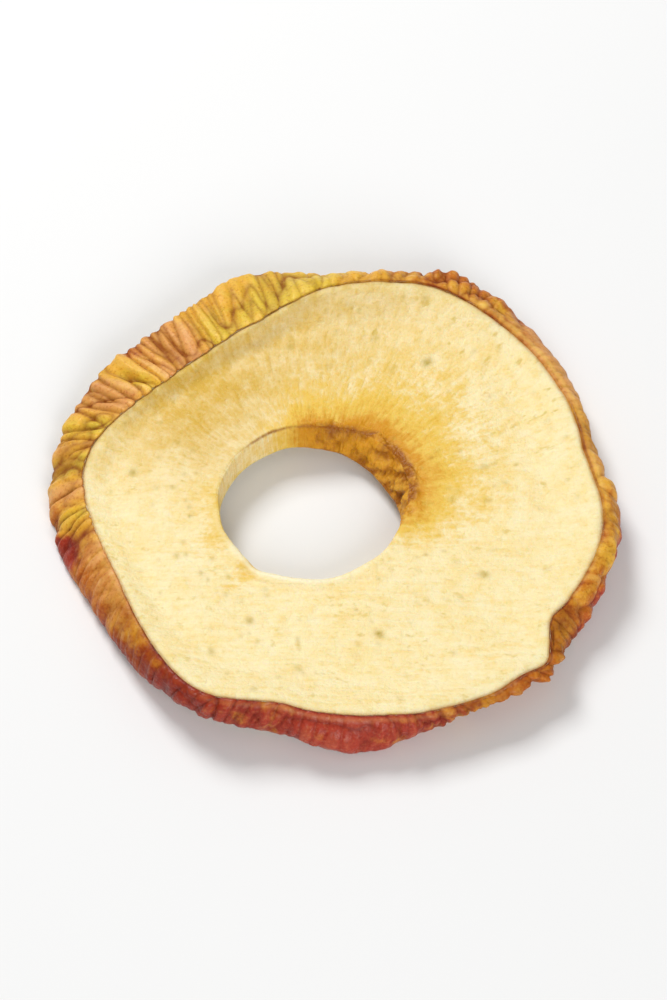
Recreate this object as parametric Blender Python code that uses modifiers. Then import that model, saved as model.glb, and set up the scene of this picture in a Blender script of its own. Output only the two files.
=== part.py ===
"""Dried apple ring with its peel on, lying on its wider cut face with the smaller face up.

The slice is first a plain turned blank: an apple slice with its core bored out.
Then it dries. The peel puckers, the rim curls and droops, the outline goes out of round,
the cut faces sink between the peel and the hole, and the ring settles on three low places.

Blender units are metres, +Z is up, and the origin is at the middle of the ring's footprint.
An angle is in degrees, from +X anticlockwise seen from above.
"""

import math

import bpy
import numpy as np

MM = 0.001

# The slice, before drying warps it
HOLE_RADIUS = 10.9 * MM
FACE_RADIUS = 30.6 * MM
RIM_RADIUS = 33.4 * MM
BASE_RADIUS = 32.4 * MM
RIM_HEIGHT = 5.3 * MM
FLESH_TOP = 4.1 * MM
FLESH_UNDERSIDE = 0.9 * MM
HOLE_TOP = 4.5 * MM
HOLE_UNDERSIDE = 0.5 * MM
LIP_WIDTH = 3.0 * MM
RIM_RISE_WIDTH = 5.5 * MM
MID_HEIGHT = RIM_HEIGHT / 2
# Drying domes the middle of the ring, so that it stands on its rim
DOME = 0.9 * MM

# The core's hole lies a little to the near left of the middle of the slice
HOLE_SHIFT = (-3.0 * MM, -0.9 * MM)

# Mesh counts: steps round the ring, and points along each stretch of the section
STEPS = 224
FACE_POINTS = 8
PEEL_POINTS = 7
BASE_POINTS = 6
WALL_POINTS = 3

# Curl: the rim bends upwards from this radius, over this length
CURL_START = 25.5 * MM
CURL_LENGTH = 8.4 * MM

# Places round the ring, each a centre and a spread in degrees with an amount.
# Rim curl in degrees: the far left and far right are rolled up, and the near right is turned down.
CURLS = ((134, 36, 32), (62, 15, 30), (0, 30, 6), (325, 4, 16), (303, 14, -6))
# Outline in mm: the straight far left, the corners, and the dents between them
OUTLINE = (
    (128, 22, -2.7), (168, 12, 0.9), (206, 20, -2.1), (242, 10, 0.5), (258, 9, -0.9), (274, 9, 0.4),
    (300, 12, -0.7), (317, 5, 0.9), (354, 12, 0.7), (14, 12, -1.5), (45, 14, 1.7), (66, 14, 2.8),
)
# Height in mm that the rim stands off the floor
LIFTS = ((100, 40, 2.7), (245, 20, 1.2), (350, 18, 0.8), (40, 15, -0.8), (176, 18, -1.1))
# Tuck in mm: how far the shown face reaches out over the peel, or draws back from it
TUCKS = (
    (304, 15, 6.5), (316, 4, 2.5), (106, 14, -4.8), (126, 20, -3.8), (150, 18, -3.6), (190, 20, -2.0),
    (241, 14, 3.0), (262, 8, 1.0), (287, 8, 1.6), (345, 16, 2.2), (18, 14, 3.2), (66, 16, -0.6),
)
# Share of the full pucker depth that the peel has
PUCKERS = ((146, 34, 0.85), (66, 16, 0.75), (100, 18, 0.5), (274, 22, 0.5), (322, 14, 0.6), (352, 18, 0.5))
PUCKER_LEAST = 0.25
# Seed chamber left open on the far right of the hole, and the smaller one near its left
CHAMBERS = ((42, 38, 1.0), (236, 7, 0.2), (118, 12, 0.2))

PUCKER_DEPTH = 1.15 * MM
PUCKERS_ROUND = 60
FACE_WAVE = 0.32 * MM
FACE_WAVE_CELLS = 9
GATHER_DEPTH = 0.30 * MM
GATHERS_ROUND = 40
GATHER_REACH = 4.5 * MM
CHAMBER_WIDENS = 1.5 * MM
CHAMBER_NARROWS = 1.6 * MM
CHAMBER_SINKS = 1.0 * MM
CHAMBER_REACH = 4.5 * MM
HOLE_WAVE = 0.22 * MM
HOLE_WAVES = 15

# Feet: the three low places that the ring stands on, and how deep each is pressed flat
FOOT_ANGLES = (36, 178, 296)
FOOT_SECTOR = 20
FOOT_PRESS = 0.28 * MM

FLESH_COLOUR = (0.86, 0.68, 0.33, 1.0)
PEEL_COLOUR = (0.42, 0.15, 0.06, 1.0)

FACE, PEEL, BASE, WALL = range(4)


def smooth(share):
    """Smoothstep of a share that is first held between 0 and 1."""
    share = np.clip(share, 0.0, 1.0)
    return share * share * (3 - 2 * share)


def lobes(angle, places):
    """Sum of smooth bumps round the ring, each (centre, spread, amount), at angles in radians."""
    total = np.zeros_like(angle)
    for centre, spread, amount in places:
        away = np.degrees(np.angle(np.exp(1j * (angle - math.radians(centre)))))
        total += amount * np.exp(-((away / spread) ** 2))
    return total


def gradient_noise(across_x, across_y, seed, period):
    """Perlin noise from -1 to 1 at cell coordinates. It repeats every period cells along x."""
    rows = int(np.ceil(across_y.max())) + 2
    turns = np.random.default_rng(seed).uniform(0, 2 * np.pi, (period, rows))
    cell_x = np.floor(across_x).astype(int)
    cell_y = np.floor(across_y).astype(int)
    part_x = across_x - cell_x
    part_y = across_y - cell_y

    def corner(step_x, step_y):
        turn = turns[(cell_x + step_x) % period, cell_y + step_y]
        return np.cos(turn) * (part_x - step_x) + np.sin(turn) * (part_y - step_y)

    near = corner(0, 0) + smooth(part_x) * (corner(1, 0) - corner(0, 0))
    far = corner(0, 1) + smooth(part_x) * (corner(1, 1) - corner(0, 1))
    return 1.4 * (near + smooth(part_y) * (far - near))


def face_height(radius):
    """Height of the shown cut face: sunk flesh that rises to the peel and a little to the hole."""
    rim = smooth((radius - FACE_RADIUS + RIM_RISE_WIDTH) / RIM_RISE_WIDTH)
    lip = 1 - smooth((radius - HOLE_RADIUS) / LIP_WIDTH)
    return FLESH_TOP + (RIM_HEIGHT - FLESH_TOP) * rim + (HOLE_TOP - FLESH_TOP) * lip


def base_height(radius):
    """Height of the lower cut face: hollow between the peel and the hole."""
    rim = smooth((radius - BASE_RADIUS + RIM_RISE_WIDTH) / RIM_RISE_WIDTH)
    lip = 1 - smooth((radius - HOLE_RADIUS) / LIP_WIDTH)
    return FLESH_UNDERSIDE * (1 - rim) + (HOLE_UNDERSIDE - FLESH_UNDERSIDE) * lip


def peel_curve(share):
    """Point of the peel's section, a cubic Bezier from the shown face's edge down to the base."""
    corners = np.array(
        [
            (FACE_RADIUS, RIM_HEIGHT),
            (RIM_RADIUS - 0.9 * MM, RIM_HEIGHT + 0.1 * MM),
            (RIM_RADIUS + 1.2 * MM, 0.3 * RIM_HEIGHT),
            (BASE_RADIUS, 0.0),
        ]
    )
    left = 1 - share
    weights = np.stack([left**3, 3 * left**2 * share, 3 * left * share**2, share**3], axis=-1)
    return (weights @ corners).T


def section():
    """The blank's closed section, as (radius, height, stretch, share along it) arrays.

    It runs out along the shown face, down the peel, in along the base and up the hole's wall.
    """
    crowded = 0.5 - 0.5 * np.cos(np.pi * np.arange(FACE_POINTS) / FACE_POINTS)
    face_radius = HOLE_RADIUS + (FACE_RADIUS - HOLE_RADIUS) * crowded
    peel_share = np.arange(PEEL_POINTS) / PEEL_POINTS
    peel_radius, peel_height = peel_curve(peel_share)
    base_share = 0.5 - 0.5 * np.cos(np.pi * np.arange(BASE_POINTS) / BASE_POINTS)
    base_radius = BASE_RADIUS + (HOLE_RADIUS - BASE_RADIUS) * base_share
    wall_share = np.arange(WALL_POINTS) / WALL_POINTS
    wall_height = HOLE_UNDERSIDE + (HOLE_TOP - HOLE_UNDERSIDE) * wall_share
    radius = [face_radius, peel_radius, base_radius, np.full(WALL_POINTS, HOLE_RADIUS)]
    height = [face_height(face_radius), peel_height, base_height(base_radius), wall_height]
    share = [crowded, peel_share, base_share, wall_share]
    stretch = [np.full(len(part), name) for name, part in zip((FACE, PEEL, BASE, WALL), share)]
    return tuple(np.concatenate(part) for part in (radius, height, stretch, share))


def turned_blank(radius, height):
    """The blank: the closed section turned once round Z by a Screw modifier, as a plain mesh."""
    count = len(radius)
    profile = bpy.data.meshes.new("ring_section")
    profile.from_pydata(
        [(r, 0.0, z) for r, z in zip(radius.tolist(), height.tolist())],
        [(i, (i + 1) % count) for i in range(count)],
        [],
    )
    turner = bpy.data.objects.new("ring_section", profile)
    bpy.context.scene.collection.objects.link(turner)
    screw = turner.modifiers.new("turn", "SCREW")
    screw.axis = "Z"
    screw.steps = screw.render_steps = STEPS
    screw.use_merge_vertices = True
    screw.merge_threshold = 0.01 * MM
    graph = bpy.context.evaluated_depsgraph_get()
    blank = bpy.data.meshes.new_from_object(turner.evaluated_get(graph))
    bpy.data.objects.remove(turner)
    bpy.data.meshes.remove(profile)
    return blank


def puckers(angle, share):
    """Peel relief from 0 to 1: rounded folds across the band, with sharp creases between them."""
    across = 1.3 * share + 0.25 * np.sin(3 * angle)
    fold = gradient_noise(PUCKERS_ROUND * angle / (2 * np.pi), across + 0.5, 11, PUCKERS_ROUND)
    return np.minimum(1.9 * np.abs(fold), 1.0)


def chamber(angle, radius):
    """How strongly a point belongs to an opened seed chamber, from 0 to 1."""
    return lobes(angle, CHAMBERS) * (1 - smooth((radius - HOLE_RADIUS) / CHAMBER_REACH))


def relief(radius, height, stretch, share, angle, normal):
    """The blank's points with puckers on the peel, gathers beside it, waves and seed chambers."""
    strength = PUCKER_LEAST + lobes(angle, PUCKERS)
    on_peel = (stretch == PEEL) * (0.35 * (1 - share) + 0.65 * np.sin(np.pi * share))
    depth = PUCKER_DEPTH * strength * on_peel * (puckers(angle, share) - 0.6)

    cut_face = (stretch == FACE) | (stretch == BASE)
    edge = np.where(stretch == FACE, FACE_RADIUS, BASE_RADIUS)
    beside = cut_face * (1 - smooth((edge - radius) / GATHER_REACH))
    turn = GATHERS_ROUND * angle / (2 * np.pi)
    gather = gradient_noise(turn, np.full_like(angle, 0.5), 23, GATHERS_ROUND)
    depth += GATHER_DEPTH * strength * beside * gather * np.where(stretch == FACE, 1.0, 0.3)

    flat_x = FACE_WAVE_CELLS * (0.5 + radius * np.cos(angle) / (2.2 * RIM_RADIUS))
    flat_y = FACE_WAVE_CELLS * (0.5 + radius * np.sin(angle) / (2.2 * RIM_RADIUS))
    depth += FACE_WAVE * cut_face * gradient_noise(flat_x, flat_y, 37, FACE_WAVE_CELLS + 1)

    radius = radius + normal[:, 0] * depth
    height = height + normal[:, 1] * depth

    opened = chamber(angle, radius)
    level = height / HOLE_TOP
    height = height - CHAMBER_SINKS * opened * np.clip(level, 0, 1)
    radius = radius + opened * (CHAMBER_WIDENS * level - CHAMBER_NARROWS * (1 - level))
    near_hole = 1 - smooth((radius - HOLE_RADIUS) / CHAMBER_REACH)
    turn = HOLE_WAVES * angle / (2 * np.pi)
    radius = radius + HOLE_WAVE * near_hole * gradient_noise(turn, 0.5 + level, 41, HOLE_WAVES)
    return radius, height


def dried(radius, height, angle):
    """World points of the warped ring: tucked and curled rim, uneven outline, lifted edges."""
    share = smooth((radius - HOLE_RADIUS) / (RIM_RADIUS - HOLE_RADIUS))
    offset = height - MID_HEIGHT
    radius = radius + MM * lobes(angle, TUCKS) * share**2 * offset / RIM_HEIGHT

    beyond = np.clip(radius - CURL_START, 0, None)
    bend = np.radians(lobes(angle, CURLS)) * beyond / CURL_LENGTH
    along = beyond * np.sinc(bend / np.pi)
    risen = beyond * bend / 2 * np.sinc(bend / (2 * np.pi)) ** 2
    radius = np.minimum(radius, CURL_START) + along - offset * np.sin(bend)
    height = MID_HEIGHT + risen + offset * np.cos(bend)

    radius = radius + MM * lobes(angle, OUTLINE) * share
    height = height + MM * lobes(angle, LIFTS) * share**2 + DOME * (1 - share**2)
    x = radius * np.cos(angle) + HOLE_SHIFT[0] * (1 - share)
    y = radius * np.sin(angle) + HOLE_SHIFT[1] * (1 - share)
    return np.stack([x, y, height], axis=-1)


def set_down(points):
    """Levels the ring on its three feet, presses each foot flat, and centres the footprint."""
    points = points.copy()
    angle = np.degrees(np.arctan2(points[:, 1], points[:, 0]))
    for _ in range(4):
        feet = []
        for centre in FOOT_ANGLES:
            away = np.abs((angle - centre + 180) % 360 - 180)
            inside = np.flatnonzero(away < FOOT_SECTOR)
            feet.append(points[inside[np.argmin(points[inside, 2])]])
        feet = np.array(feet)
        tilt = np.linalg.solve(np.column_stack([feet[:, :2], np.ones(3)]), feet[:, 2])
        points[:, 2] -= points[:, 0] * tilt[0] + points[:, 1] * tilt[1] + tilt[2]
    points[:, 2] = np.maximum(points[:, 2] - FOOT_PRESS, 0.0)
    points[:, :2] -= (points[:, :2].min(axis=0) + points[:, :2].max(axis=0)) / 2
    return points


def principled(name, colour, roughness):
    """A plain Principled BSDF material of one colour."""
    material = bpy.data.materials.new(name)
    material.use_nodes = True
    shader = material.node_tree.nodes["Principled BSDF"]
    shader.inputs["Base Color"].default_value = colour
    shader.inputs["Roughness"].default_value = roughness
    shader.inputs["Metallic"].default_value = 0.0
    material.diffuse_color = colour
    return material


def apple_ring():
    """The whole ring as one object: the dried blank, with peel and flesh as its two materials."""
    radius, height, stretch, share = section()
    mesh = turned_blank(radius, height)
    mesh.name = "apple_ring"
    flat = np.empty(3 * len(mesh.vertices))
    mesh.vertices.foreach_get("co", flat)
    points = flat.reshape(-1, 3)

    turned_radius = np.hypot(points[:, 0], points[:, 1])
    angle = np.arctan2(points[:, 1], points[:, 0])
    gaps = (turned_radius[:, None] - radius) ** 2 + (points[:, 2, None] - height) ** 2
    place = np.argmin(gaps, axis=1)

    along_r = np.roll(radius, -1) - np.roll(radius, 1)
    along_z = np.roll(height, -1) - np.roll(height, 1)
    normal = np.stack([-along_z, along_r], axis=-1) / np.hypot(along_r, along_z)[:, None]

    bumpy = relief(
        radius[place], height[place], stretch[place], share[place], angle, normal[place]
    )
    points = set_down(dried(*bumpy, angle))
    mesh.vertices.foreach_set("co", points.ravel())

    mesh.materials.append(principled("apple_flesh", FLESH_COLOUR, 0.62))
    mesh.materials.append(principled("apple_peel", PEEL_COLOUR, 0.45))
    for face in mesh.polygons:
        on_peel = sum(stretch[place[v]] == PEEL for v in face.vertices)
        face.material_index = int(on_peel >= 2)
    mesh.shade_smooth()
    mesh.set_sharp_from_angle(angle=math.radians(50))
    mesh.update()

    ring = bpy.data.objects.new("apple_ring", mesh)
    parts = bpy.data.collections.new("dried_apple_ring")
    bpy.context.scene.collection.children.link(parts)
    parts.objects.link(ring)
    return ring


def main():
    for old in list(bpy.data.objects):
        bpy.data.objects.remove(old)
    apple_ring()


if __name__ == "__main__":
    main()
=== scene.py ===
"""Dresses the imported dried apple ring: sunk flesh, puckered peel and a browned core crust.

The ring is worked out from the same named sizes as its solid, on much finer grids. A slice's
section is carried once round the core, then it dries: the peel puckers, the rim curls, the
outline goes out of round, and the whole ring is levelled on its three feet. Lengths are in
metres, +Z is up, and an angle is in degrees from +X, anticlockwise seen from above.
"""

import logging
import math
from dataclasses import dataclass, replace
from enum import Enum, IntEnum

import bpy
import numpy as np
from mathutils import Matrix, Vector


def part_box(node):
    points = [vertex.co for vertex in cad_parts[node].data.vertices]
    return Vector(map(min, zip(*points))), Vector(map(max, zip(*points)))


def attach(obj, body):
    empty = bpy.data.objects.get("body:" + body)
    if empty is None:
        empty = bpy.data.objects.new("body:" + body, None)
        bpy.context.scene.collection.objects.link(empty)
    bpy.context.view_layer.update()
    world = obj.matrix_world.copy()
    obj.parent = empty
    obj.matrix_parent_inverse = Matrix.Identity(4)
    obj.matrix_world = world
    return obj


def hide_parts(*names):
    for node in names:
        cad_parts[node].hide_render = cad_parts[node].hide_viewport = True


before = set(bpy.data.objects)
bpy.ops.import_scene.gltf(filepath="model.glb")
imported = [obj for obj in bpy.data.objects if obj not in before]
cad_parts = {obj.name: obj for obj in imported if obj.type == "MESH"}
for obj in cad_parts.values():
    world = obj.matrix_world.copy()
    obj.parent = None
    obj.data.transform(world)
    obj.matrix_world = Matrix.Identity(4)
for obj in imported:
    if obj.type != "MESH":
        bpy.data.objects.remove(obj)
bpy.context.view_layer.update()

LOG = logging.getLogger("dried_apple_ring")
MM = 0.001
NODE = "apple_ring"
BODY = "root"

Array = np.ndarray
Triple = tuple[float, float, float]
Colour = Triple


class Stretch(IntEnum):
    """The four stretches of the ring's closed section, in the order that it runs."""

    FACE = 0
    PEEL = 1
    BASE = 2
    WALL = 3


class Slot(Enum):
    """The record's material slots."""

    FLESH = "apple_flesh"
    PEEL = "apple_peel"


def smooth(share: Array) -> Array:
    """Smoothstep, 3t² - 2t³, of a share t that is first held between 0 and 1.

    Args:
        share: Any numbers.

    Returns:
        The eased shares, from 0 to 1.
    """
    share = np.clip(share, 0.0, 1.0)
    return share * share * (3 - 2 * share)


def bell(away: Array) -> Array:
    """exp(-away²): 1 at 0, and fading on both sides."""
    return np.exp(-(away**2))


class Places:
    """Smooth bumps round the ring, each a centre and a spread in degrees and an amount."""

    def __init__(self, *bumps: Triple) -> None:
        """Keeps the bumps."""
        self.bumps = bumps

    def at(self, angle: Array) -> Array:
        """Sum of amount * exp(-(degrees away / spread)²) over the places.

        Args:
            angle: Angles in radians.

        Returns:
            The sum at each angle.
        """
        total = np.zeros_like(angle)
        for centre, spread, amount in self.bumps:
            away = np.degrees(np.angle(np.exp(1j * (angle - math.radians(centre)))))
            total += amount * bell(away / spread)
        return total


@dataclass(frozen=True)
class Noise:
    """Gradient noise on a grid of cells that repeats round the ring."""

    seed: int
    cells: int
    rows: int

    def at(self, along: Array, across: Array) -> Array:
        """Perlin noise: the corners' slopes dotted with the way to them, eased between corners.

        Args:
            along: Cell coordinate that repeats every cells.
            across: Cell coordinate, at least 0, that ends within the rows.

        Returns:
            Numbers from about -1 to 1.
        """
        shape = (self.cells, self.rows)
        turns = np.random.default_rng(self.seed).uniform(0, 2 * np.pi, shape)
        cell_x = np.floor(along).astype(int)
        cell_y = np.floor(across).astype(int)
        part_x = along - cell_x
        part_y = across - cell_y

        def corner(step_x: int, step_y: int) -> Array:
            """Pull of one corner of each point's cell.

            Args:
                step_x: 0 for the cell's near corners, 1 for its far ones.
                step_y: The same across.

            Returns:
                The slope there, dotted with the way from the corner.
            """
            row = np.minimum(cell_y + step_y, self.rows - 1)
            turn = turns[(cell_x + step_x) % self.cells, row]
            return np.cos(turn) * (part_x - step_x) + np.sin(turn) * (part_y - step_y)

        near = corner(0, 0) + smooth(part_x) * (corner(1, 0) - corner(0, 0))
        far = corner(0, 1) + smooth(part_x) * (corner(1, 1) - corner(0, 1))
        return 1.4 * (near + smooth(part_y) * (far - near))

    def round_ring(self, angle: Array, across: Array) -> Array:
        """The noise with its cells spread evenly round the ring.

        Args:
            angle: Angles in radians.
            across: Cell coordinate across the band.

        Returns:
            Numbers from about -1 to 1.
        """
        return self.at(self.cells * angle / (2 * np.pi), across)


@dataclass(frozen=True)
class Section:
    """Points along the slice's section at steps round the ring, each array as (around, points).

    A share is how far along its own stretch a point is. The normals point outwards, with their
    radial and upward parts on one more axis.
    """

    angle: Array
    radius: Array
    height: Array
    stretch: Array
    share: Array
    normal: Array


def carry_round(around: int, *runs: Array) -> tuple[Array, ...]:
    """Repeats runs of points at even steps round the ring.

    Args:
        around: Steps round the ring.
        *runs: Arrays with an entry for each point of one run.

    Returns:
        The angle of every point in radians, then each run with a row for each step.
    """
    turn = np.arange(around) * 2 * np.pi / around
    angle = np.repeat(turn[:, None], len(runs[0]), axis=1)
    return angle, *(np.repeat(run[None], around, axis=0) for run in runs)


@dataclass(frozen=True)
class AppleSlice:
    """The slice before it dries: an upright section round a bored core."""

    hole_radius: float = 10.9 * MM
    face_radius: float = 30.6 * MM
    rim_radius: float = 33.4 * MM
    base_radius: float = 32.4 * MM
    rim_height: float = 5.3 * MM
    flesh_top: float = 4.1 * MM
    flesh_underside: float = 0.9 * MM
    hole_top: float = 4.5 * MM
    hole_underside: float = 0.5 * MM
    lip_width: float = 3.0 * MM
    rim_rise_width: float = 5.5 * MM

    def cut_height(self, radius: Array, edge: float, heights: Triple) -> Array:
        """A cut face: level in the middle, with one eased rise to the peel and one to the hole.

        The height is middle + (at peel - middle) * rise + (at hole - middle) * lip.

        Args:
            radius: Distances from the core's axis.
            edge: Radius of the face's outer edge.
            heights: Height in the middle, at the peel and at the hole.

        Returns:
            The face's height at each distance.
        """
        middle, at_peel, at_hole = heights
        rise = smooth((radius - edge + self.rim_rise_width) / self.rim_rise_width)
        lip = 1 - smooth((radius - self.hole_radius) / self.lip_width)
        return middle + (at_peel - middle) * rise + (at_hole - middle) * lip

    def peel_curve(self, share: Array) -> tuple[Array, Array, Array]:
        """Cubic Bezier from the shown face's edge, over a shoulder, down to the base's edge.

        Its outward normal is its slope turned a quarter turn, with a length of 1.

        Args:
            share: Bezier parameter. A little under 0 or over 1 runs on past the ends.

        Returns:
            Radius, height and normal of each point.
        """
        corners = np.array(
            [
                (self.face_radius, self.rim_height),
                (self.rim_radius - 0.9 * MM, self.rim_height + 0.1 * MM),
                (self.rim_radius + 1.2 * MM, 0.3 * self.rim_height),
                (self.base_radius, 0.0),
            ]
        )
        left = 1 - share
        weights = [left**3, 3 * left**2 * share, 3 * left * share**2, share**3]
        points = np.stack(weights, axis=-1) @ corners
        steps = np.diff(corners, axis=0)
        slope = np.stack([left**2, 2 * left * share, share**2], axis=-1) @ steps
        normal = np.stack([-slope[..., 1], slope[..., 0]], axis=-1)
        normal /= np.linalg.norm(normal, axis=-1, keepdims=True)
        return points[..., 0], points[..., 1], normal

    def closed_section(
        self, rows: tuple[int, int, int, int], around: int, fillet: float = 0.0
    ) -> Section:
        """The whole section: out along the face, down the peel, in along the base, up the wall.

        The hole's two edges are rounded: a point t before an edge moves on to a circle of the
        fillet's radius f, at (1 - t/f) * 45 degrees along it.

        Args:
            rows: Points on each stretch, crowded at both ends of all but the peel.
            around: Steps round the ring.
            fillet: Radius that rounds the hole's edges.

        Returns:
            The closed section round the ring, with normals square to their neighbours' chord.
        """
        face, _, base, wall = (0.5 - 0.5 * np.cos(np.pi * np.arange(n) / n) for n in rows)
        peel = np.arange(rows[Stretch.PEEL]) / rows[Stretch.PEEL]
        face_radius = self.hole_radius + (self.face_radius - self.hole_radius) * face
        peel_radius, peel_height, _ = self.peel_curve(peel)
        base_radius = self.base_radius + (self.hole_radius - self.base_radius) * base
        wall_radius = np.full_like(wall, self.hole_radius)
        wall_height = self.hole_underside + (self.hole_top - self.hole_underside) * wall
        radius = np.concatenate([face_radius, peel_radius, base_radius, wall_radius])
        shown = (self.flesh_top, self.rim_height, self.hole_top)
        under = (self.flesh_underside, 0.0, self.hole_underside)
        face_height = self.cut_height(face_radius, self.face_radius, shown)
        base_height = self.cut_height(base_radius, self.base_radius, under)
        height = np.concatenate([face_height, peel_height, base_height, wall_height])
        stretch = np.repeat([int(name) for name in Stretch], rows)
        if fillet:
            out = radius - self.hole_radius
            on_wall = stretch == Stretch.WALL
            for edge, way in ((self.hole_top, 1), (self.hole_underside, -1)):
                before = np.where(on_wall, way * (edge - height), out)
                side = on_wall | (stretch == (Stretch.FACE if way > 0 else Stretch.BASE))
                turn = np.radians(45) * (1 - np.clip(before / fillet, 0, 1)) * side
                drawn_in = fillet * (1 - np.cos(turn))
                drawn_on = np.where(turn > 0, fillet * (1 - np.sin(turn)) - before, 0.0)
                radius = radius + np.where(on_wall, drawn_in, drawn_on)
                height = height - way * np.where(on_wall, drawn_on, drawn_in)
        along_r = np.roll(radius, -1) - np.roll(radius, 1)
        along_z = np.roll(height, -1) - np.roll(height, 1)
        normal = np.stack([-along_z, along_r], axis=-1) / np.hypot(along_r, along_z)[:, None]
        share = np.concatenate([face, peel, base, wall])
        return Section(*carry_round(around, radius, height, stretch, share, normal))


@dataclass(frozen=True)
class Drying:
    """What drying does to the slice.

    Amounts are degrees in curls, mm in outline, lifts and tucks, and shares in the others.
    """

    slice: AppleSlice = AppleSlice()
    curls: Places = Places((134, 36, 32), (62, 15, 30), (0, 30, 6), (325, 4, 16), (303, 14, -6))
    outline: Places = Places(
        (128, 22, -2.7), (168, 12, 0.9), (206, 20, -2.1), (242, 10, 0.5), (258, 9, -0.9),
        (274, 9, 0.4), (300, 12, -0.7), (317, 5, 0.9), (354, 12, 0.7), (14, 12, -1.5),
        (45, 14, 1.7), (66, 14, 2.8),
    )
    lifts: Places = Places(
        (100, 40, 2.7), (245, 20, 1.2), (350, 18, 0.8), (40, 15, -0.8), (176, 18, -1.1),
    )
    tucks: Places = Places(
        (304, 15, 6.5), (316, 4, 2.5), (106, 14, -4.8), (126, 20, -3.8), (150, 18, -3.6),
        (190, 20, -2.0), (241, 14, 3.0), (262, 8, 1.0), (287, 8, 1.6), (345, 16, 2.2),
        (18, 14, 3.2), (66, 16, -0.6),
    )
    pucker_places: Places = Places(
        (146, 34, 0.85), (66, 16, 0.75), (100, 18, 0.5), (274, 22, 0.5), (322, 14, 0.6),
        (352, 18, 0.5),
    )
    chambers: Places = Places((42, 38, 1.0), (236, 7, 0.2), (118, 12, 0.2))
    dome: float = 0.9 * MM
    hole_shift: tuple[float, float] = (-3.0 * MM, -0.9 * MM)
    curl_start: float = 25.5 * MM
    curl_length: float = 8.4 * MM
    pucker_least: float = 0.25
    pucker_depth: float = 1.15 * MM
    pucker_noise: Noise = Noise(11, 60, 4)
    gather_depth: float = 0.30 * MM
    gather_reach: float = 4.5 * MM
    gather_noise: Noise = Noise(23, 40, 3)
    base_gather: float = 0.3
    face_wave: float = 0.32 * MM
    face_noise: Noise = Noise(37, 10, 11)
    chamber_widens: float = 1.5 * MM
    chamber_narrows: float = 1.6 * MM
    chamber_sinks: float = 1.0 * MM
    chamber_reach: float = 4.5 * MM
    hole_wave: float = 0.22 * MM
    hole_noise: Noise = Noise(41, 15, 4)

    def pucker_strength(self, angle: Array) -> Array:
        """Share of the full pucker depth at each angle."""
        return self.pucker_least + self.pucker_places.at(angle)

    def puckers(self, section: Section) -> Array:
        """Rounded folds across the band, min(1.9 |noise|, 1), creased where the noise is 0.

        Args:
            section: The points.

        Returns:
            Heights from 0 in a crease to 1 on a fold.
        """
        angle = section.angle
        across = np.clip(1.3 * section.share + 0.25 * np.sin(3 * angle) + 0.5, 0, None)
        return np.minimum(1.9 * np.abs(self.pucker_noise.round_ring(angle, across)), 1.0)

    def peel_depth(self, section: Section) -> Array:
        """Outward push of the puckers, strongest halfway down the peel.

        Args:
            section: The points.

        Returns:
            The push at each point, in metres, negative in the creases.
        """
        held = np.clip(section.share, 0, 1)
        band = 0.35 * (1 - held) + 0.65 * np.sin(np.pi * held)
        folds = self.puckers(section) - 0.6
        return self.pucker_depth * self.pucker_strength(section.angle) * band * folds

    def flesh_depth(self, section: Section) -> Array:
        """Outward push on the two cut faces: gathers beside the peel and slow waves.

        Args:
            section: The points.

        Returns:
            The push at each point, in metres, 0 off the cut faces.
        """
        angle = section.angle
        shown = section.stretch == Stretch.FACE
        cut_face = shown | (section.stretch == Stretch.BASE)
        edge = np.where(shown, self.slice.face_radius, self.slice.base_radius)
        beside = cut_face * (1 - smooth((edge - section.radius) / self.gather_reach))
        gather = self.gather_noise.round_ring(angle, np.full_like(angle, 0.5))
        depth = self.gather_depth * self.pucker_strength(angle) * beside * gather
        depth *= np.where(shown, 1.0, self.base_gather)
        cells = self.face_noise.cells - 1
        reach = 2.2 * self.slice.rim_radius
        flat_x = cells * (0.5 + section.radius * np.cos(angle) / reach)
        flat_y = cells * (0.5 + section.radius * np.sin(angle) / reach)
        return depth + self.face_wave * cut_face * self.face_noise.at(flat_x, flat_y)

    def open_core(self, section: Section, depth: Array) -> tuple[Array, Array]:
        """Pushes points out, then sinks and widens the hole at an opened seed chamber, unevenly.

        Args:
            section: The points.
            depth: Outward push of each point, in metres.

        Returns:
            The new radius and height.
        """
        radius = section.radius + section.normal[..., 0] * depth
        height = section.height + section.normal[..., 1] * depth
        reach = (radius - self.slice.hole_radius) / self.chamber_reach
        opened = self.chambers.at(section.angle) * (1 - smooth(reach))
        level = height / self.slice.hole_top
        height = height - self.chamber_sinks * opened * np.clip(level, 0, 1)
        widened = self.chamber_widens * level - self.chamber_narrows * (1 - level)
        radius = radius + opened * widened
        near = 1 - smooth((radius - self.slice.hole_radius) / self.chamber_reach)
        wave = self.hole_noise.round_ring(section.angle, np.clip(0.5 + level, 0, None))
        return radius + self.hole_wave * near * wave, height

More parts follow.
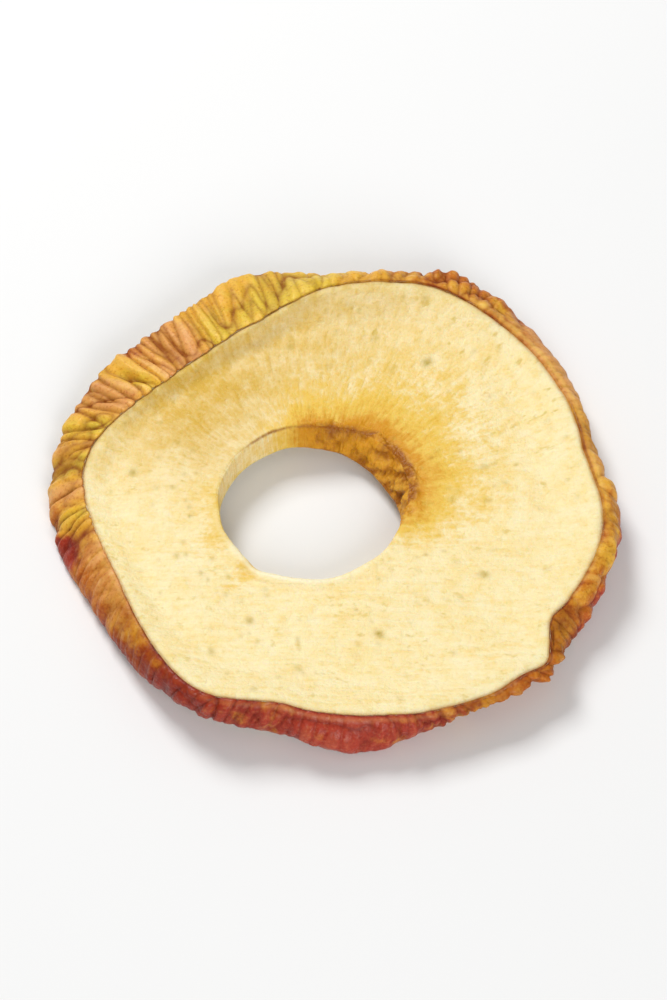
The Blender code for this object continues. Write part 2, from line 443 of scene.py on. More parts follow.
    def warp(self, section: Section, depth: Array) -> Array:
        """Pushes points out, opens the core, tucks, curls and lifts the rim, and shifts the hole.

        The rim leans by tuck * share² * (height - middle) / rim height. Past the curl's start it
        bends on an arc: the way along it is b * sin(a)/a and the rise is b * (1 - cos(a))/a, where
        b is the distance past the start and a the angle turned there.

        Args:
            section: The points.
            depth: Outward push of each point, in metres.

        Returns:
            World points before they are set down, with x, y and z on the last axis.
        """
        cut, angle = self.slice, section.angle
        radius, height = self.open_core(section, depth)
        share = smooth((radius - cut.hole_radius) / (cut.rim_radius - cut.hole_radius))
        middle = cut.rim_height / 2
        offset = height - middle
        radius = radius + MM * self.tucks.at(angle) * share**2 * offset / cut.rim_height
        beyond = np.clip(radius - self.curl_start, 0, None)
        bend = np.radians(self.curls.at(angle)) * beyond / self.curl_length
        along = beyond * np.sinc(bend / np.pi)
        risen = beyond * bend / 2 * np.sinc(bend / (2 * np.pi)) ** 2
        radius = np.minimum(radius, self.curl_start) + along - offset * np.sin(bend)
        height = middle + risen + offset * np.cos(bend)
        radius = radius + MM * self.outline.at(angle) * share
        height = height + MM * self.lifts.at(angle) * share**2 + self.dome * (1 - share**2)
        x = radius * np.cos(angle) + self.hole_shift[0] * (1 - share)
        y = radius * np.sin(angle) + self.hole_shift[1] * (1 - share)
        return np.stack([x, y, height], axis=-1)


@dataclass(frozen=True)
class Seat:
    """How the warped ring is set down: the tilt taken out, the feet's press and the centring."""

    tilt: Array
    centre: Array
    press: float = 0.28 * MM

    @classmethod
    def of_solid(cls, drying: Drying) -> "Seat":
        """Works the seat out on the solid's own coarse grid, so that both sit alike.

        Args:
            drying: The ring's drying.

        Returns:
            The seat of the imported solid.
        """
        foot_angles, foot_sector = (36, 178, 296), 20
        solid_rows, solid_steps = (8, 7, 6, 3), 224
        section = drying.slice.closed_section(solid_rows, solid_steps)
        on_peel = section.stretch == Stretch.PEEL
        depth = np.where(on_peel, drying.peel_depth(section), drying.flesh_depth(section))
        points = drying.warp(section, depth).reshape(-1, 3)
        turned = np.degrees(np.arctan2(points[:, 1], points[:, 0]))
        tilt = np.zeros(3)
        level = np.column_stack([points[:, :2], np.ones(len(points))])
        for _ in range(4):
            height = points[:, 2] - level @ tilt
            feet = []
            for centre in foot_angles:
                away = np.abs((turned - centre + 180) % 360 - 180)
                inside = np.flatnonzero(away < foot_sector)
                feet.append(inside[np.argmin(height[inside])])
            tilt = tilt + np.linalg.solve(level[feet], height[feet])
        flat = points[:, :2]
        return cls(tilt, (flat.min(axis=0) + flat.max(axis=0)) / 2)

    def down(self, points: Array) -> Array:
        """Levels, presses and centres points, and holds them at or above the floor.

        Args:
            points: Warped points with x, y and z on the last axis.

        Returns:
            The points at rest.
        """
        level = points[..., :2] @ self.tilt[:2] + self.tilt[2]
        height = np.maximum(points[..., 2] - level - self.press, 0.0)
        return np.concatenate([points[..., :2] - self.centre, height[..., None]], axis=-1)


def ring_mesh(name: str, points: Array, marks: dict[str, Array]) -> bpy.types.Object:
    """A smooth mesh of a grid that is closed both round the ring and round its section.

    Args:
        name: The piece's name.
        points: Points as (around, section, 3).
        marks: Point attributes by name, each as (around, section).

    Returns:
        The new object, linked to the scene at the origin.
    """
    around, across = points.shape[:2]
    here = np.arange(around * across).reshape(around, across)
    on = np.roll(here, -1, axis=1)
    quads = np.stack([here, on, np.roll(on, -1, axis=0), np.roll(here, -1, axis=0)], axis=-1)
    mesh = bpy.data.meshes.new(name)
    mesh.from_pydata(points.reshape(-1, 3).tolist(), [], quads.reshape(-1, 4).tolist())
    for mark, values in marks.items():
        attribute = mesh.attributes.new(mark, "FLOAT", "POINT")
        attribute.data.foreach_set("value", values.astype(np.float32).ravel())
    mesh.shade_smooth()
    mesh.update()
    piece = bpy.data.objects.new(name, mesh)
    bpy.context.scene.collection.objects.link(piece)
    return piece


@dataclass(frozen=True)
class Value:
    """A socket of a material's tree. Arithmetic on it adds Math nodes."""

    paint: "Paint"
    socket: bpy.types.NodeSocket

    def __add__(self, other: "Value | float") -> "Value":
        """This plus another."""
        return self.paint.math("ADD", self, other)

    __radd__ = __add__

    def __sub__(self, other: "Value | float") -> "Value":
        """This less another."""
        return self.paint.math("SUBTRACT", self, other)

    def __rsub__(self, other: float) -> "Value":
        """A number less this."""
        return self.paint.math("SUBTRACT", other, self)

    def __mul__(self, other: "Value | float") -> "Value":
        """This times another."""
        return self.paint.math("MULTIPLY", self, other)

    __rmul__ = __mul__

    def held(self) -> "Value":
        """This held between 0 and 1."""
        return self.paint.node("ShaderNodeClamp", {}, {"Value": self})

    def step(self, low: float, high: float) -> "Value":
        """0 under low and 1 over high, eased between them."""
        inputs = {"Value": self, "From Min": low, "From Max": high}
        return self.paint.node("ShaderNodeMapRange", {"interpolation_type": "SMOOTHSTEP"}, inputs)


class Paint:
    """One material and the nodes that are added to it."""

    def __init__(self, name: str, shown: Colour) -> None:
        """Starts a material with one shader and its output.

        Args:
            name: The material's name.
            shown: Its plain viewport colour.
        """
        self.material = bpy.data.materials.new(name)
        self.material.use_nodes = True
        self.material.diffuse_color = (*shown, 1.0)
        self.tree = self.material.node_tree
        self.shader = self.tree.nodes["Principled BSDF"]

    def put(self, socket: bpy.types.NodeSocket, value: Value | float | Triple) -> None:
        """Links a value to a socket, or writes a constant on it.

        Args:
            socket: The socket.
            value: What it gets. A colour has no alpha.
        """
        if isinstance(value, Value):
            self.tree.links.new(value.socket, socket)
        elif socket.type == "RGBA":
            socket.default_value = (*value, 1.0)
        else:
            socket.default_value = value

    def node(self, kind: str, settings: dict, inputs: dict, output: int | str = 0) -> Value:
        """Adds any node.

        Args:
            kind: Blender's name of the node type.
            settings: Properties of the node, which are set first.
            inputs: Values or links of its sockets, by name or index.
            output: Which of its outputs is wanted.

        Returns:
            The wanted output.
        """
        node = self.tree.nodes.new(kind)
        for name, setting in settings.items():
            setattr(node, name, setting)
        for name, value in inputs.items():
            self.put(node.inputs[name], value)
        return Value(self, node.outputs[output])

    def math(self, operation: str, a: Value | float, b: Value | float) -> Value:
        """Adds one Math node on two values."""
        return self.node("ShaderNodeMath", {"operation": operation}, {0: a, 1: b})

    def mark(self, name: str) -> Value:
        """A number stored at the piece's points."""
        return self.node("ShaderNodeAttribute", {"attribute_name": name}, {}, "Fac")

    def place(self, stretch: Triple) -> Value:
        """Object coordinates in metres, scaled along each axis."""
        coordinates = self.node("ShaderNodeTexCoord", {}, {}, "Object")
        return self.node("ShaderNodeMapping", {}, {"Vector": coordinates, "Scale": stretch})

    def vector(self, operation: str, inputs: dict, output: int | str = 0) -> Value:
        """Adds one Vector Math node."""
        return self.node("ShaderNodeVectorMath", {"operation": operation}, inputs, output)

    def radial_place(self, middle: Triple, girth: float, outward: float) -> Value:
        """Coordinates that change fast round a centre and slowly away from it.

        They are girth * (unit vector from the centre) + outward * (distance) * up, so that noise on
        them runs in spokes.

        Args:
            middle: The centre.
            girth: Radius at which a step round the centre keeps its length.
            outward: Share of a step's length that is kept away from the centre.

        Returns:
            The coordinates.
        """
        place = self.vector("SUBTRACT", {0: self.place((1.0, 1.0, 0.0)), 1: middle})
        round_it = self.vector("SCALE", {0: self.vector("NORMALIZE", {0: place}), "Scale": girth})
        away = self.vector("LENGTH", {0: place}, "Value") * outward
        up = self.node("ShaderNodeCombineXYZ", {}, {"Z": away})
        return self.vector("ADD", {0: round_it, 1: up})

    def noise(
        self, size: float, detail: float, on: Value | Triple = (1.0, 1.0, 1.0), harsh: float = 0.5
    ) -> Value:
        """Noise from 0 to 1 whose blotches are about size metres across.

        Args:
            size: Size of a blotch.
            detail: Octaves of finer noise.
            on: Coordinates, or the scale of the piece's own along each axis, where a number
                under 1 makes streaks along that axis.
            harsh: Strength of each finer octave against the one before.

        Returns:
            The noise's number.
        """
        place = on if isinstance(on, Value) else self.place(on)
        inputs = {"Vector": place, "Scale": 1.0 / size, "Detail": detail, "Roughness": harsh}
        return self.node("ShaderNodeTexNoise", {}, inputs)

    def mix(
        self, factor: Value | float, a: Value | Colour, b: Value | Colour, kind: str = "MIX"
    ) -> Value:
        """Colour a where the factor is 0, and b where it is 1, or a kind of blend of both."""
        settings = {"data_type": "RGBA", "blend_type": kind}
        return self.node("ShaderNodeMix", settings, {0: factor, 6: a, 7: b}, 2)

    def shade(self, factor: Value | float, a: Value, tint: Colour) -> Value:
        """Colour a, multiplied by the tint where the factor is 1."""
        return self.mix(factor, a, tint, "MULTIPLY")

    def bump(self, height: Value, distance: float) -> Value:
        """A normal bent by a height that is 0 to 1 times a distance in metres."""
        return self.node("ShaderNodeBump", {}, {"Height": height, "Distance": distance})

    def finish(self, **sockets: Value | float | Triple) -> bpy.types.Material:
        """Fills the shader's sockets.

        Args:
            **sockets: Values or constants by the socket's name, with _ for a space.

        Returns:
            The finished material.
        """
        for name, value in sockets.items():
            self.put(self.shader.inputs[name.replace("_", " ")], value)
        return self.material


@dataclass(frozen=True)
class FleshFinish:
    """Dried apple flesh: pale cream, mottled gold, browned where the core was, with painted shade
    and highlight.
    """

    cream: Colour = (0.93, 0.74, 0.34)
    pale: Colour = (0.96, 0.83, 0.50)
    gold: Colour = (0.83, 0.54, 0.07)
    # Painted shade: a darker gold for the upper-left face, which curls up away from the light.
    painted_shade_honey: Colour = (0.70, 0.44, 0.065)
    amber: Colour = (0.68, 0.30, 0.008)
    olive: Colour = (0.66, 0.48, 0.09)
    # Real crust brown, also used for painted shade in the crust's creases and at its foot, and for
    # the painted shadow line along the hole's top edge.
    crust: Colour = (0.31, 0.085, 0.002)
    scab: Colour = (0.80, 0.43, 0.07)
    vein: Colour = (0.50, 0.36, 0.06)
    # Painted highlight: the paler colour of the hole's near lip, where light catches it.
    lip: Colour = (0.97, 0.88, 0.62)
    # Painted shade: the dark line on the flesh in the groove beside the peel.
    rim: Colour = (0.52, 0.26, 0.05)
    core: Triple = (-2.3 * MM, -1.1 * MM, 0.0)
    relief: float = 0.45 * MM
    roughness: float = 0.6
    specular: float = 0.3
    glow: float = 0.22
    glow_radius: Triple = (0.0024, 0.0014, 0.0006)

    def material(self) -> bpy.types.Material:
        """Mottles, streaks and speckles the cream, then stains it and paints shade and a highlight
        by the marks on the mesh.

        Returns:
            The flesh's material.
        """
        paint = Paint("apple_flesh", self.cream)
        cloud = paint.noise(6 * MM, 3.0)
        mottle = paint.noise(1.5 * MM, 5.0, harsh=0.65)
        speckle = paint.noise(0.4 * MM, 3.0)
        across = paint.noise(0.55 * MM, 3.0, (0.14, 1.0, 1.0))
        spokes = paint.radial_place(self.core, 20 * MM, 0.3)
        along = paint.noise(0.55 * MM, 3.0, spokes)
        far = paint.mark("far_side")
        fibres = across * (1 - far) + along * far
        grain = 0.45 * mottle + 0.2 * speckle + 0.35 * fibres
        colour = paint.mix((grain + 0.3 * (cloud - 0.5)).step(0.32, 0.66), self.pale, self.cream)
        wisp = paint.noise(0.8 * MM, 3.0, (0.6, 1.0, 1.0)) * (1 - far)
        wisp += paint.noise(0.7 * MM, 3.0, spokes) * far
        broken = paint.noise(1.6 * MM, 2.0).step(0.46, 0.66)
        # Painted shade: the upper-left face darkened to gold, broken up by the grain.
        painted_shade_gold = paint.mark("painted_shade_gold") * (0.6 + 0.9 * (cloud - 0.5) + 1.7 * (grain - 0.45))
        uneven = 1.6 * (grain - 0.5) + 0.6 * (cloud - 0.5)
        stain = paint.mark("stain") + uneven * paint.mark("stain").step(0.0, 0.3)
        crust = (paint.mark("crust") * (0.75 + 1.6 * (mottle - 0.45))).held()
        layers = (
            (grain.step(0.48, 0.78) * 0.4, self.gold),
            (wisp.step(0.56, 0.68) * broken * (0.45 + 0.3 * far), self.olive),
            (painted_shade_gold, self.painted_shade_honey),
            (stain.step(0.0, 0.65) * 0.95, self.gold),
            (stain.step(0.55, 1.15), self.amber),
            (paint.mark("scab") * 0.5, self.scab),
            # Crust brown, with painted shade in its creases and foot and the painted shadow line at
            # the hole's top edge.
            (crust.step(0.25, 1.0) * 0.88, self.crust),
            # Painted highlight on the hole's near lip.
            (paint.mark("lip") * 0.85, self.lip),
            # Painted shade in the groove beside the peel.
            (paint.mark("rim") * (0.2 + mottle), self.rim),
            (paint.mark("vein"), self.vein),
        )
        for cover, tint in layers:
            colour = paint.mix(cover, colour, tint)
        return paint.finish(
            Base_Color=colour,
            Roughness=self.roughness + 0.2 * (speckle - 0.5) - 0.32 * crust,
            Normal=paint.bump(0.4 * fibres + 0.3 * speckle + 0.6 * mottle, self.relief),
            Specular_IOR_Level=self.specular,
            Subsurface_Weight=self.glow,
            Subsurface_Radius=self.glow_radius,
            Subsurface_Scale=1.0,
        )


@dataclass(frozen=True)
class PeelFinish:
    """Dried apple peel: gold, blushed from rosy tan to deep red, with painted shade in its creases.
    """

    gold: Colour = (0.82, 0.43, 0.04)
    green: Colour = (0.78, 0.54, 0.045)
    rose: Colour = (0.76, 0.33, 0.12)
    russet: Colour = (0.58, 0.165, 0.010)
    red: Colour = (0.41, 0.045, 0.022)
    # Pale colours for the peel's pale specks and for the painted highlights on its ridge crests and
    # rounded top; blush is the one used where it is red.
    pale: Colour = (0.90, 0.59, 0.15)
    blush: Colour = (0.70, 0.27, 0.12)
    # Painted shade in the peel's creases and along its edges.
    crease: Colour = (0.38, 0.20, 0.05)
    freckle: Colour = (0.62, 0.42, 0.22)
    # Painted shade for darkened patches of the peel.
    painted_shade_spots: Colour = (0.62, 0.42, 0.16)
    relief: float = 0.2 * MM
    roughness: float = 0.42
    specular: float = 0.2
    glow: float = 0.08
    glow_radius: Triple = (0.0010, 0.0004, 0.0002)

    def material(self) -> bpy.types.Material:
        """Blends the peel's ground colours by its marks, stipples them, and paints shade in the
        creases and patches and highlights on the ridges and rounded top.

        Returns:
            The peel's material.
        """
        paint = Paint("apple_peel", self.russet)
        patch = paint.noise(2.6 * MM, 3.0)
        grain = paint.noise(0.9 * MM, 4.0)
        stipple = paint.noise(0.34 * MM, 2.0)
        ridge = paint.mark("ridge")
        reddened = paint.mark("red").held()
        uneven = 1.3 * (patch - 0.5) + 0.5 * (grain - 0.5)

        def cover(name: str) -> Value:
            """A mark made patchy, from 0 to 1."""
            return (paint.mark(name) + uneven * paint.mark(name).step(0.0, 0.3)).step(0.15, 0.85)

        colour = paint.mix(cover("green"), self.gold, self.green)
        colour = paint.mix(cover("rose") * (0.25 + 0.75 * ridge), colour, self.rose)
        colour = paint.mix(cover("russet"), colour, self.russet)
        colour = paint.mix(cover("red"), colour, self.red)
        colour = paint.shade(stipple.step(0.54, 0.68) * 0.5, colour, self.freckle)
        # Pale specks of the peel's own, then painted highlights on its rounded top and ridge
        # crests.
        specks_and_highlights = stipple.step(0.46, 0.3) * 0.2 + paint.mark("lit_shoulder")
        specks_and_highlights += ridge.step(0.72, 1.0) * (0.3 - 0.2 * reddened)
        colour = paint.mix(specks_and_highlights, colour, paint.mix(reddened, self.pale, self.blush))
        # Painted shade patches.
        colour = paint.shade(paint.mark("painted_shade_spots") * (0.4 + patch), colour, self.painted_shade_spots)
        # Painted shade in the creases and along the peel's edges.
        crease = (paint.mark("crease") * (0.5 + patch) + 0.4 * (grain - 0.5)).held()
        colour = paint.shade(crease, colour, self.crease)
        return paint.finish(
            Base_Color=colour,
            Roughness=self.roughness + 0.3 * (grain - 0.5) + 0.2 * crease - 0.12 * reddened,
            Normal=paint.bump(0.25 * stipple + 0.9 * grain, self.relief),
            Specular_IOR_Level=self.specular,
            Subsurface_Weight=self.glow,
            Subsurface_Radius=self.glow_radius,
            Subsurface_Scale=1.0,
        )


@dataclass(frozen=True)
class FloorFinish:
    """Plain pale studio floor."""

    pale: Colour = (0.86, 0.86, 0.855)
    cloud_dims: float = 0.985
    roughness: float = 0.7

    def material(self) -> bpy.types.Material:
        """One pale matt colour with the faintest cloud in it.

        Returns:
            The floor's material.
        """
        paint = Paint("studio_floor", self.pale)
        cloud = paint.noise(0.4, 2.0)
        dimmed = tuple(self.cloud_dims * part for part in self.pale)
        colour = paint.mix(cloud, self.pale, dimmed)
        return paint.finish(Base_Color=colour, Roughness=self.roughness)


@dataclass
class Flesh:
    """The ring's flesh, closed: both cut faces, the hole's wall and the side under the peel.

    The rows are its grid's points on each stretch of the section.
    """

    drying: Drying
    seat: Seat
    around: int = 830
    rows: tuple[int, int, int, int] = (72, 6, 18, 24)
    fillet: float = 0.5 * MM
    under_peel: float = 1.05 * MM
    edge_blend: float = 1.2 * MM
    groove: float = 0.22 * MM
    dimple: float = 0.07 * MM
    dimple_noise: Noise = Noise(61, 70, 18)
    crust: Places = Places((16, 17, 1.0), (50, 20, 0.95), (82, 15, 0.8), (352, 10, 0.45))
    # Painted shadow: a dark line along the hole's top edge, round its upper left.
    line: Places = Places((114, 30, 1.2))
    shadow_line_width: float = 0.38 * MM
    rim: Places = Places((28, 26, 0.7))
    # Width of the painted shade in the groove beside the peel.
    rim_width: float = 0.4 * MM
    scab: Places = Places((22, 20, 1.0))
    scab_noise: Noise = Noise(71, 52, 40)
    seam_noise: Noise = Noise(73, 34, 40)
    knob_noise: Noise = Noise(72, 120, 80)
    crust_rough: float = 0.52 * MM
    crust_foot: float = 1.3 * MM
    crust_width: float = 1.9 * MM
    stain: Places = Places(
        (30, 32, 1.35), (60, 20, 0.65), (92, 24, 0.9), (352, 20, 0.7), (182, 20, 0.4),
        (206, 8, 0.5), (231, 6, 0.7), (280, 30, 0.08),
    )
    stain_reach: float = 2.6 * MM
    stain_spread: float = 2.8 * MM
    # Painted shade: where the face is darkened to gold, mostly the upper left, which curls up away
    # from the light.
    painted_shade_gold: Places = Places((138, 27, 1.15), (92, 30, 0.7))
    painted_shade_gold_reach: float = 9 * MM
    # Where the hole's near lip is raised, and painted paler there as a highlight.
    lip: Places = Places((255, 46, 1.0))
    lip_rise: float = 0.16 * MM
    veins: tuple[Triple, ...] = (
        (169, 23.0, 0.9), (59, 22.5, 1.0), (331, 21.5, 0.8), (245, 18.5, 0.8), (290, 20.0, 1.0),
        (238, 25.0, 0.6), (101, 23.5, 0.6), (205, 19.0, 0.5), (15, 20.5, 0.5), (262, 24.5, 0.5),
    )
    faint_veins: int = 150
    vein_seed: int = 5

    def vein_mark(self, section: Section) -> Array:
        """Small round spots, exp(-(distance / size)²), at the veins and at seeded faint ones.

        Args:
            section: The points.

        Returns:
            The strongest spot at each point.
        """
        draw = np.random.default_rng(self.vein_seed)
        spots = [(math.radians(a), r * MM, 0.5 * MM, s) for a, r, s in self.veins]
        for _ in range(self.faint_veins):
            turn, out = draw.uniform(0, 2 * np.pi), draw.uniform(13, 29)
            spots.append((turn, out * MM, draw.uniform(0.2, 0.4) * MM, draw.uniform(0.15, 0.55)))
        x = section.radius * np.cos(section.angle)
        y = section.radius * np.sin(section.angle)
        mark = np.zeros_like(x)
        for turn, out, size, strength in spots:
            away = (x - out * np.cos(turn)) ** 2 + (y - out * np.sin(turn)) ** 2
            mark = np.maximum(mark, strength * np.exp(-away / size**2))
        return mark

    def depth(self, section: Section) -> Array:
        """Outward push: the solid's, sunk under the peel, grooved beside it, lipped at the hole.

        Args:
            section: The points.

        Returns:
            The push at each point in metres.
        """
        cut, angle = self.drying.slice, section.angle
        shown = section.stretch == Stretch.FACE
        inset = (cut.face_radius - section.radius) / self.edge_blend
        beside = shown * (1 - smooth(inset))
        peel_edge = self.drying.peel_depth(replace(section, share=np.zeros_like(angle)))
        flesh = self.drying.flesh_depth(section) * (1 - beside) + beside * peel_edge
        flesh -= shown * self.groove * (1 - smooth(2.4 * inset))
        out = (section.radius - cut.hole_radius) / MM
        lip = bell((out - 0.6) / 0.5) - 0.8 * bell((out - 1.7) / 0.28)
        flesh += shown * self.lip_rise * self.lip.at(angle) * lip
        dimples = self.dimple_noise.round_ring(angle, 0.55 * section.radius / MM)
        flesh += self.dimple * dimples * (shown | (section.stretch == Stretch.BASE))
        sunk = self.under_peel * np.clip(6 * section.share, 0, 1)
        peel = self.drying.peel_depth(section) - sunk
        return np.where(section.stretch == Stretch.PEEL, peel, flesh)

    def crusted(self, section: Section) -> tuple[Array, Array]:
        """The crust round the old core: half scabs, 1/2 + 0.9 noise, then |noise| seams and knobs.

        Args:
            section: The points.

        Returns:
            How dark the crust is at each point, with painted shade in its creases and at the wall's
            foot, and its outward push.
        """
        cut, angle = self.drying.slice, section.angle
        wall = section.stretch == Stretch.WALL
        shown = section.stretch == Stretch.FACE
        out = section.radius - cut.hole_radius
        near_hole = np.where(wall, 1.0, shown * bell(out / self.crust_width))
        crust = self.crust.at(angle) * near_hole
        run = np.where(wall, section.height, cut.hole_top + out) / MM
        scabs = smooth(0.5 + 0.9 * self.scab_noise.round_ring(angle + 0.05 * run, 0.6 * run + 1))
        seams = np.clip(2.2 * np.abs(self.seam_noise.round_ring(angle, 0.5 * run + 1)), 0, 1)
        knobs = np.clip(1.6 * np.abs(self.knob_noise.round_ring(angle, 1.9 * run + 1)), 0, 1)
        folds = 0.5 * scabs + 0.3 * seams + 0.2 * knobs
        foot = np.where(wall, smooth((section.height - cut.hole_underside) / self.crust_foot), 1.0)
        # Painted shade: the crust darkened where its folds sink, and towards the foot of the hole's
        # wall.
        dark = crust * (1.25 - 1.2 * folds + 0.6 * (1 - foot))
        return dark, self.crust_rough * crust * foot * (2.1 * folds - 0.7)

    def build(self) -> bpy.types.Object:
        """Makes the flesh's mesh with the marks that its finish reads.

        Returns:
            The flesh's object.
        """
        cut = self.drying.slice
        section = cut.closed_section(self.rows, self.around, self.fillet)
        angle = section.angle
        crust, knobs = self.crusted(section)
        out = section.radius - cut.hole_radius
        wall = section.stretch == Stretch.WALL
        shown = section.stretch == Stretch.FACE
        under = section.stretch == Stretch.BASE
        tucked = under * (1 - smooth((cut.base_radius - section.radius) / self.edge_blend))
        drawn_in = replace(section, radius=section.radius - 0.7 * self.under_peel * tucked)
        points = self.drying.warp(drawn_in, self.depth(section) + knobs)
        stained = self.stain.at(angle)
        reach = self.stain_reach + self.stain_spread * stained
        fade = np.exp(-((np.clip(out, 0, None) / reach) ** 1.25))
        # Painted shadow: a dark line along the hole's top edge.
        from_edge = np.where(wall, cut.hole_top - section.height, out) / self.shadow_line_width
        painted_shadow_line = self.line.at(angle) * bell(from_edge) * (wall | shown)
        dark_rim = shown * self.rim.at(angle) * bell(out / MM - 0.7)
        # Painted shade on the face, growing away from the hole.
        painted_shade_gold = self.painted_shade_gold.at(angle) * (0.6 + 0.4 * smooth(out / self.painted_shade_gold_reach))
        marks = {
            "stain": np.where(wall, np.maximum(stained + 0.3 * crust, 0.22), stained * fade),
            # Real crust and dark rim by the hole, with the painted shade in the crust's creases and
            # the painted shadow line.
            "crust": crust + painted_shadow_line + dark_rim,
            "scab": np.clip(3 * knobs / self.crust_rough, 0, 1) * self.scab.at(angle),
            "vein": self.vein_mark(section) * shown,
            "painted_shade_gold": painted_shade_gold * shown,
            "far_side": smooth(0.5 + np.sin(angle)),
            # Painted shade in the groove beside the peel.
            "rim": shown * bell((cut.face_radius - section.radius) / self.rim_width),
            # Painted highlight on the hole's near lip.
            "lip": shown * self.lip.at(angle) * bell((out / MM - 0.5) / 0.45),
        }
        return ring_mesh("ring_flesh", self.seat.down(points), marks)


@dataclass
class Peel:
    """The puckered peel: a thin closed shell round the rim that overlaps the flesh's edges."""

    drying: Drying
    seat: Seat
    around: int = 1380
    outer_rows: int = 62
    inner_rows: int = 9
    overlap: float = 0.03
    proud: float = 0.05 * MM
    buried: float = 0.95 * MM
    pleats: Noise = Noise(81, 128, 6)
    pleat_depth: float = 0.78 * MM
    pleat_least: float = 0.25
    pleat_places: Places = Places(
        (148, 30, 0.85), (68, 12, 0.5), (104, 12, 0.4), (246, 14, 0.4), (293, 8, 0.45),
        (320, 9, 0.5), (182, 8, 0.4),
    )
    threads: Noise = Noise(82, 250, 6)
    thread_depth: float = 0.13 * MM
    wrinkles: Noise = Noise(83, 150, 12)
    wrinkle_depth: float = 0.10 * MM
    green: Places = Places(
        (107, 12, 0.8), (122, 4, 0.6), (145, 3, 0.6), (160, 4, 0.8), (170, 4, 0.7), (183, 2.5, 0.7),
        (93, 8, 0.6), (209, 6, 0.3), (343, 9, 0.5), (20, 6, 0.2),
    )
    rose: Places = Places(
        (131, 5, 0.9), (139, 3, 0.7), (152, 5, 0.9), (165, 2.5, 0.5), (177, 4, 0.8), (197, 8, 0.6),
        (208, 12, 0.8), (38, 18, 0.9), (8, 8, 0.6),
    )
    russet: Places = Places(
        (180, 2.5, 0.6), (196, 12, 0.5), (234, 16, 1.6), (210, 12, 0.5), (50, 17, 0.8),
        (354, 17, 0.9), (334, 9, 0.9), (311, 13, 1.5), (70, 12, 0.9), (139, 2.5, 0.4),
    )
    red: Places = Places((272, 27, 1.0), (236, 13, 0.75), (189, 2.5, 0.3))
    outer_red: Places = Places(
        (190, 5, 1.3), (214, 14, 0.5), (238, 6, 1.0), (0, 16, 0.8), (336, 12, 0.75),
        (150, 60, 0.08), (40, 20, 0.2),
    )
    # Painted shade: patches of the peel darkened, most at the tucked notch near 322 degrees.
    painted_shade_spots: Places = Places(
        (322, 6, 1.0), (303, 9, 0.8), (228, 20, 0.9), (16, 5, 0.7), (189, 3, 0.5),
    )
    # Painted highlight: the peel's rounded top made paler, where light catches it.
    lit_shoulder: Places = Places((270, 26, 0.35), (205, 20, 0.25), (42, 18, 0.5), (10, 14, 0.5))

    def pleat_strength(self, angle: Array) -> Array:
        """Share of the full pleat depth at each angle."""
        return self.pleat_least + self.pleat_places.at(angle)

    def fine_relief(self, section: Section) -> tuple[Array, Array]:
        """Pleats across the band, 1 - (1 - 1.7 |noise|)², with threads and wrinkles on them.

        Args:
            section: The points.

        Returns:
            The outward push in metres, with its creases below 0, and the pleats from 0 to 1.
        """
        angle, held = section.angle, np.clip(section.share, 0, 1)
        band = 0.25 + 0.75 * np.sin(np.pi * held) ** 0.8
        strength = self.pleat_strength(angle)
        lean = 0.07 * (held - 0.5) * np.sin(3 * angle + 0.7)
        across = 0.8 * held + 1.2 + 0.5 * np.sin(4 * angle)
        fold = np.minimum(1.7 * np.abs(self.pleats.round_ring(angle + lean, across)), 1.0)
        pleat = 1 - (1 - fold) ** 2
        thread = np.abs(self.threads.round_ring(angle + 1.3 * lean, 1.2 * held + 0.5))
        wrinkle = self.wrinkles.round_ring(angle, 4.0 * held + 0.5)
        fine = self.thread_depth * (1.8 * thread - 0.6) + self.wrinkle_depth * wrinkle
        depth = strength * self.pleat_depth * (pleat - 0.78) + (0.4 + strength) * fine
        return band * depth, pleat

    def build(self) -> bpy.types.Object:
        """Makes the shell: the outer run down, then the inner run back up, joined at both edges.

        The two runs close on each other at the edges as the root of 1 - (2 * way - 1)²⁴.

        Returns:
            The peel's object.
        """
        even = np.arange(self.outer_rows) / (self.outer_rows - 1)
        run = 0.4 * (0.5 - 0.5 * np.cos(np.pi * even)) + 0.6 * even
        back = np.linspace(self.outer_rows - 2, 1, self.inner_rows).round().astype(int)
        columns = np.concatenate([np.arange(self.outer_rows), back])
        share = ((1 + 2 * self.overlap) * run - self.overlap)[columns]
        radius, height, normal = self.drying.slice.peel_curve(share)
        runs = (radius, height, np.full_like(share, Stretch.PEEL), share, normal)
        section = Section(*carry_round(self.around, *runs))
        angle, share = section.angle, section.share
        is_outer = np.arange(len(columns)) < self.outer_rows
        end = columns / (self.outer_rows - 1)
        full = np.sqrt(np.clip(1 - (2 * end - 1) ** 24, 0, 1))
        middle = (self.proud - self.buried) / 2
        half = (self.proud + self.buried) / 2
        fine, pleat = self.fine_relief(section)
        depth = self.drying.peel_depth(section) + middle
        depth = depth + np.where(is_outer, 1, -1) * half * full + fine * is_outer * full
        points = self.drying.warp(section, depth)
        folds = self.drying.puckers(section)
        strength = np.clip(self.drying.pucker_strength(angle), 0, 1)
        pleated = np.clip(self.pleat_strength(angle), 0, 1)
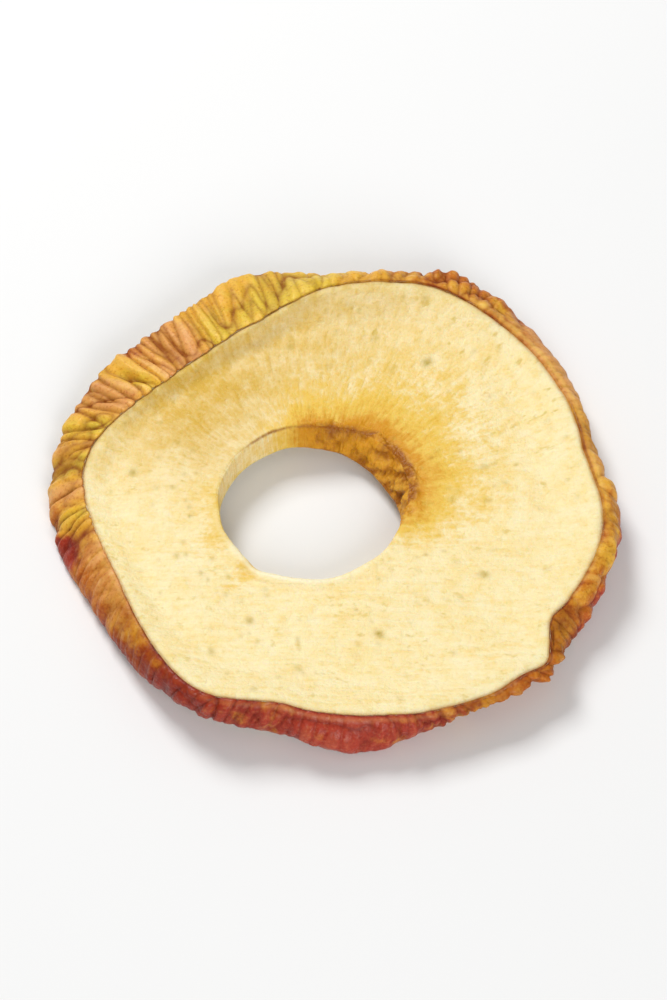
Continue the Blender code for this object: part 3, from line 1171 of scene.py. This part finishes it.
        # Painted shade: darkest in the creases of the puckers and pleats, with dark lines along the
        # peel's top edge by the flesh and its bottom edge.
        crease = 0.7 * strength * np.clip(1 - 2.5 * folds, 0, 1) ** 2
        crease += 0.9 * pleated * (1 - pleat) ** 2
        outer_edge = smooth((share - 0.34) / 0.42)
        top_edge_shade = bell(share / 0.028) * (0.55 + 0.25 * np.sin(7 * angle))
        marks = {
            "crease": np.clip(crease + top_edge_shade + 0.6 * bell((1 - share) / 0.04), 0, 1),
            "ridge": np.clip(0.35 * folds + 0.65 * pleat, 0, 1),
            "green": self.green.at(angle) * (1 - 0.5 * outer_edge),
            "rose": self.rose.at(angle),
            "russet": self.russet.at(angle) * (0.5 + 0.5 * outer_edge) + 0.12 * outer_edge,
            "red": self.red.at(angle) + self.outer_red.at(angle) * outer_edge,
            "painted_shade_spots": np.clip(self.painted_shade_spots.at(angle), 0, 1),
            "lit_shoulder": self.lit_shoulder.at(angle) * bell((share - 0.1) / 0.05),
        }
        return ring_mesh("ring_peel", self.seat.down(points), marks)


@dataclass
class Studio:
    """Pale floor, soft lights and the camera that looks down at the photograph's angle."""

    elevation: float = 54.0
    lens: float = 180.0
    sensor: float = 36.0
    frame_size: tuple[int, int] = (667, 1000)
    width_share: float = 0.86
    floor_size: float = 6.0
    room_light: float = 0.32
    lights: tuple[tuple[str, Triple, float, float], ...] = (
        ("window", (-0.22, 0.40, 0.50), 0.26, 3.3),
        ("front", (0.16, -0.55, 0.36), 0.36, 2.5),
    )

    def floor(self) -> None:
        """Lays the floor at the ring's feet."""
        half = self.floor_size / 2
        corners = [(-half, -half, 0), (half, -half, 0), (half, half, 0), (-half, half, 0)]
        mesh = bpy.data.meshes.new("studio_floor")
        mesh.from_pydata(corners, [], [(0, 1, 2, 3)])
        mesh.materials.append(FloorFinish().material())
        floor = bpy.data.objects.new("studio_floor", mesh)
        bpy.context.scene.collection.objects.link(floor)

    def light(self) -> None:
        """Hangs the soft boxes, turned to the ring, in an even pale room."""
        for name, place, size, watts in self.lights:
            lamp = bpy.data.lights.new(name, "AREA")
            lamp.size = size
            lamp.energy = watts
            box = bpy.data.objects.new(name, lamp)
            box.location = place
            box.rotation_euler = Vector(place).to_track_quat("Z", "Y").to_euler()
            bpy.context.scene.collection.objects.link(box)
        world = bpy.data.worlds.new("pale_room")
        world.use_nodes = True
        room = world.node_tree.nodes["Background"]
        room.inputs["Color"].default_value = (1.0, 1.0, 1.0, 1.0)
        room.inputs["Strength"].default_value = self.room_light
        bpy.context.scene.world = world

    def camera(self) -> None:
        """Aims a long lens at the ring so that it fills its share of the frame's width."""
        low, high = (np.array(corner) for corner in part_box(NODE))
        middle = (low + high) / 2
        across = self.sensor * self.frame_size[0] / self.frame_size[1]
        distance = (high[0] - low[0]) / self.width_share * self.lens / across
        lean = math.radians(self.elevation)
        eye = bpy.data.cameras.new("camera")
        eye.lens = self.lens
        eye.sensor_width = self.sensor
        viewer = bpy.data.objects.new("camera", eye)
        viewer.location = middle + distance * np.array([0, -math.cos(lean), math.sin(lean)])
        viewer.rotation_euler = (math.radians(90) - lean, 0, 0)
        bpy.context.scene.collection.objects.link(viewer)
        bpy.context.scene.camera = viewer
        bpy.context.scene.view_settings.view_transform = "Standard"


def dress(piece: bpy.types.Object, material: bpy.types.Material) -> None:
    """Gives a finished piece its material, and ties it to the frame.

    Args:
        piece: The finished piece.
        material: Its finish.
    """
    piece.data.materials.append(material)
    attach(piece, BODY)
    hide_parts(NODE)
    LOG.info("%s: %d faces", piece.name, len(piece.data.polygons))


def main() -> None:
    """Builds the ring's pieces and the studio, in order."""
    logging.basicConfig(level=logging.INFO, format="%(name)s: %(message)s")
    drying = Drying()
    seat = Seat.of_solid(drying)
    LOG.info("seat: tilt %s, centre %s", seat.tilt, seat.centre)
    dress(Flesh(drying, seat).build(), FleshFinish().material())
    dress(Peel(drying, seat).build(), PeelFinish().material())
    studio = Studio()
    studio.floor()
    studio.light()
    studio.camera()


if __name__ == "__main__":
    main()
